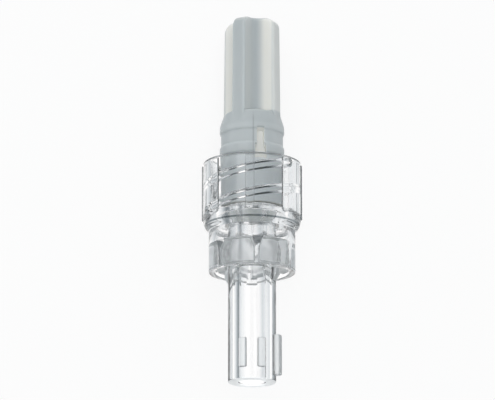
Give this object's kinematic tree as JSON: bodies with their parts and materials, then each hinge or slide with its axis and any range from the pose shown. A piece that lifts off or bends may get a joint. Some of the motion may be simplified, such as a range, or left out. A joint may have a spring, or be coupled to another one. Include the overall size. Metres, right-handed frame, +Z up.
{
  "type": "luer lock connector",
  "caption": "Male luer lock connector for bonded tubing: clear body with a tapered tip, a freely spinning threaded collar, and a pull-off cap with a cross-shaped handle.",
  "frame": {"origin": "under the middle of the connector, on the surface that it lies on", "axes": "+Y along the connector's axis from the tube end to the cap's handle, +Z up, +X to the right seen from above with the cap away from the viewer"},
  "size_m": [0.0094, 0.0362, 0.0095],
  "materials": {
    "clear_body": "clear moulded plastic, polished",
    "clear_collar": "clear moulded plastic, polished",
    "milky_cap": "milky translucent soft plastic, satin"
  },
  "bodies": {
    "body": {"male_luer_body": "clear_body"},
    "collar": {"spin_collar": "clear_collar"},
    "cap": {"protective_cap": "milky_cap"}
  },
  "joints": [
    {"name": "collar_spin", "type": "hinge", "parent": "body", "child": "collar", "pos_m": [0, -0.0025, 0.00475], "axis": [0, 1, 0], "continuous": true},
    {"name": "cap_pull", "type": "slide", "parent": "body", "child": "cap", "axis": [0, 1, 0], "range_m": [0, 0.01]}
  ]
}
